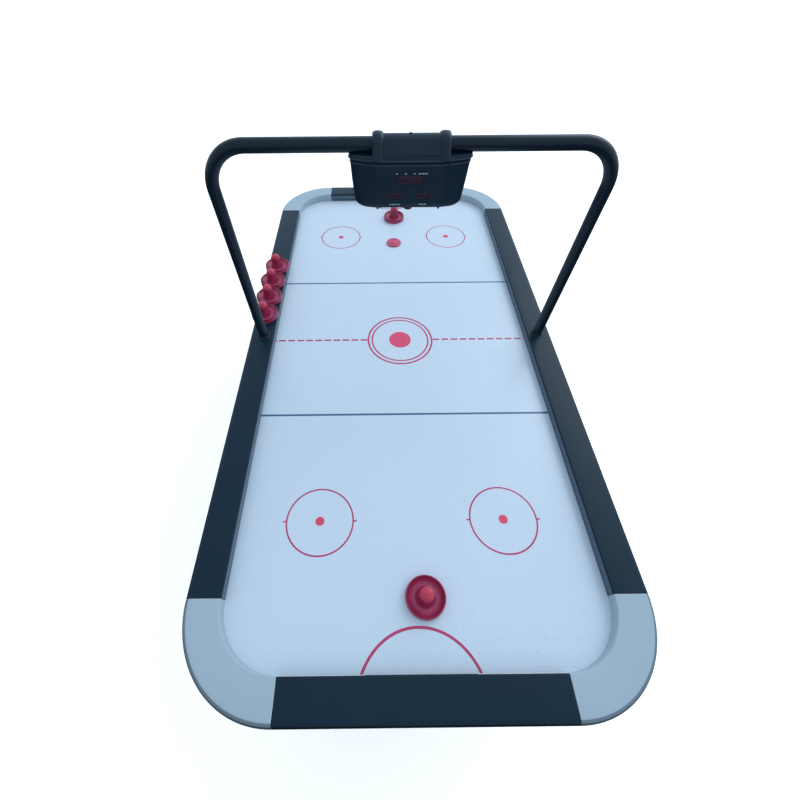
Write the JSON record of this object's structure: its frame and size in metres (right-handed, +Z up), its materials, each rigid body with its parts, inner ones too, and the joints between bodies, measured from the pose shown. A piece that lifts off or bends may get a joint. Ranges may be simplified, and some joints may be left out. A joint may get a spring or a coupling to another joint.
{
  "type": "air hockey table",
  "caption": "Full-size air hockey table with rounded pale corners, dark rails, goal slots, an overhead arch with a score unit, a blower, pushers and a puck.",
  "frame": {"origin": "middle of the table on the floor, under the centre of the overall box", "axes": "+Z up, +Y along the table from the near goal to the far goal, +X to the right seen from the near end"},
  "size_m": [1.0759, 2.1336, 1.4368],
  "materials": {
    "field_laminate": "gloss white laminate on fibreboard, with a faint blue cast and printed lines",
    "bare_board": "raw fibreboard",
    "rail_laminate": "satin blue-black laminate on fibreboard",
    "corner_plastic": "satin light grey moulded plastic",
    "liner_metal": "satin anodised strip",
    "apron_laminate": "satin blue-black laminate on fibreboard",
    "leg_laminate": "satin black laminate on fibreboard",
    "zinc_steel": "zinc plated",
    "leveler_steel": "dark plated steel",
    "black_plastic": "moulded, fine texture",
    "wheel_plastic": "moulded grey",
    "red_button_plastic": "dark red, smooth",
    "arch_paint": "satin powder coat",
    "bracket_iron": "black painted",
    "case_plastic": "satin blue-black moulding",
    "window_plastic": "dark red smoked filter",
    "display_plastic": "dark red digit modules, unlit",
    "board_green": "green circuit board",
    "pusher_red": "crimson, semi-gloss",
    "puck_red": "red, semi-gloss"
  },
  "bodies": {
    "table": {"playfield": "field_laminate", "plenum_frame": "bare_board", "plenum_ribs": "bare_board", "plenum_floor": "bare_board", "side_rail_left": "rail_laminate", "side_rail_right": "rail_laminate", "end_rail_near": "rail_laminate", "end_rail_far": "rail_laminate", "corner_near_left": "corner_plastic", "corner_near_right": "corner_plastic", "corner_far_left": "corner_plastic", "corner_far_right": "corner_plastic", "rail_liners": "liner_metal", "side_apron_left": "apron_laminate", "side_apron_right": "apron_laminate", "end_apron_near": "apron_laminate", "end_apron_far": "apron_laminate", "leg_near_left": "leg_laminate", "leg_near_right": "leg_laminate", "leg_far_left": "leg_laminate", "leg_far_right": "leg_laminate", "leg_stretcher_near": "leg_laminate", "leg_stretcher_far": "leg_laminate", "leg_inserts": "zinc_steel", "leg_bolts": "zinc_steel", "goal_tray_near": "black_plastic", "goal_tray_far": "black_plastic", "goal_sensors": "black_plastic", "blower_housing": "black_plastic", "blower_motor": "zinc_steel", "blower_grille": "black_plastic", "power_panel": "black_plastic", "power_inlet": "black_plastic", "arch_tube_left": "arch_paint", "arch_tube_right": "arch_paint", "arch_socket_left": "black_plastic", "arch_socket_right": "black_plastic", "arch_brackets": "bracket_iron", "arch_joiner": "zinc_steel", "scorer_top_cover": "case_plastic", "scorer_front_shell": "case_plastic", "scorer_back_shell": "case_plastic", "scorer_windows": "window_plastic", "scorer_boards": "board_green", "scorer_digits": "display_plastic", "pan_screws": "zinc_steel"},
    "near_pusher": {"pusher_near": "pusher_red"},
    "far_pusher": {"pusher_far": "pusher_red"},
    "puck_body": {"puck": "puck_red"},
    "rail_pusher_1": {"pusher_rail_1": "pusher_red"},
    "rail_pusher_2": {"pusher_rail_2": "pusher_red"},
    "rail_pusher_3": {"pusher_rail_3": "pusher_red"},
    "rail_pusher_4": {"pusher_rail_4": "pusher_red"},
    "button": {"scorer_button": "red_button_plastic"},
    "rocker": {"power_rocker": "red_button_plastic"},
    "wheel": {"blower_impeller": "wheel_plastic"},
    "foot_near_left": {"leveler_near_left": "leveler_steel"},
    "foot_near_right": {"leveler_near_right": "leveler_steel"},
    "foot_far_left": {"leveler_far_left": "leveler_steel"},
    "foot_far_right": {"leveler_far_right": "leveler_steel"}
  },
  "joints": [
    {"name": "near_pusher_slide", "type": "slide", "parent": "table", "child": "near_pusher", "axis": [1, 0, 0], "range_m": [-0.415, 0.375]},
    {"name": "far_pusher_slide", "type": "slide", "parent": "table", "child": "far_pusher", "axis": [1, 0, 0], "range_m": [-0.403, 0.387]},
    {"name": "puck_slide", "type": "slide", "parent": "table", "child": "puck_body", "axis": [0, 1, 0], "range_m": [-1.34, 0.11]},
    {"name": "rail_pusher_1_lift", "type": "slide", "parent": "table", "child": "rail_pusher_1", "axis": [0, 0, 1], "range_m": [0, 0.12]},
    {"name": "rail_pusher_2_lift", "type": "slide", "parent": "table", "child": "rail_pusher_2", "axis": [0, 0, 1], "range_m": [0, 0.12]},
    {"name": "rail_pusher_3_lift", "type": "slide", "parent": "table", "child": "rail_pusher_3", "axis": [0, 0, 1], "range_m": [0, 0.12]},
    {"name": "rail_pusher_4_lift", "type": "slide", "parent": "table", "child": "rail_pusher_4", "axis": [0, 0, 1], "range_m": [0, 0.12]},
    {"name": "score_button_press", "type": "slide", "parent": "table", "child": "button", "axis": [0, 0, 1], "range_m": [0, 0.002], "stiffness_N_per_m": 400, "springref_m": -0.003},
    {"name": "power_rocker_tilt", "type": "hinge", "parent": "table", "child": "rocker", "pos_m": [0.5242, 0.538, 0.6903], "axis": [0, 1, 0], "range_deg": [-12, 0]},
    {"name": "blower_spin", "type": "hinge", "parent": "table", "child": "wheel", "pos_m": [0, 0.117, 0.6313], "axis": [1, 0, 0], "continuous": true},
    {"name": "leveler_near_left_turn", "type": "hinge", "parent": "table", "child": "foot_near_left", "pos_m": [-0.46, -0.7848, 0.03], "axis": [0, 0, 1], "continuous": true},
    {"name": "leveler_near_right_turn", "type": "hinge", "parent": "table", "child": "foot_near_right", "pos_m": [0.46, -0.7848, 0.03], "axis": [0, 0, 1], "continuous": true},
    {"name": "leveler_far_left_turn", "type": "hinge", "parent": "table", "child": "foot_far_left", "pos_m": [-0.46, 0.7848, 0.03], "axis": [0, 0, 1], "continuous": true},
    {"name": "leveler_far_right_turn", "type": "hinge", "parent": "table", "child": "foot_far_right", "pos_m": [0.46, 0.7848, 0.03], "axis": [0, 0, 1], "continuous": true}
  ]
}
